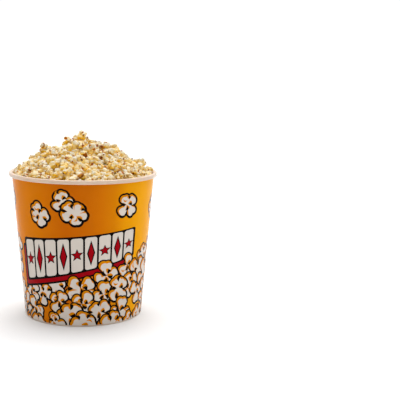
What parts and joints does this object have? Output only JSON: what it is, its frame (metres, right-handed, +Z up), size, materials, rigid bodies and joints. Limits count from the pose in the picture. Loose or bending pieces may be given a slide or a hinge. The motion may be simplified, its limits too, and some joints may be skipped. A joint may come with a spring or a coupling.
{
  "type": "bucket of popcorn",
  "caption": "Tapered round plastic bucket with a turned-over rim, filled with popcorn heaped above the rim.",
  "frame": {"origin": "centre of the ring that the bucket stands on, at the table", "axes": "+Z up along the bucket's axis; the printed front faces -Y"},
  "size_m": [0.184, 0.184, 0.2333],
  "materials": {
    "bucket_plastic": "milky, satin",
    "popcorn": "popped corn, dry and slightly oily",
    "print_ground": "glossy in-mould print, amber",
    "print_ink": "glossy in-mould print, black",
    "print_cream": "glossy in-mould print, cream",
    "print_red": "glossy in-mould print, red"
  },
  "bodies": {
    "root": {"bucket": "bucket_plastic", "popcorn_heap": "popcorn"}
  },
  "joints": []
}
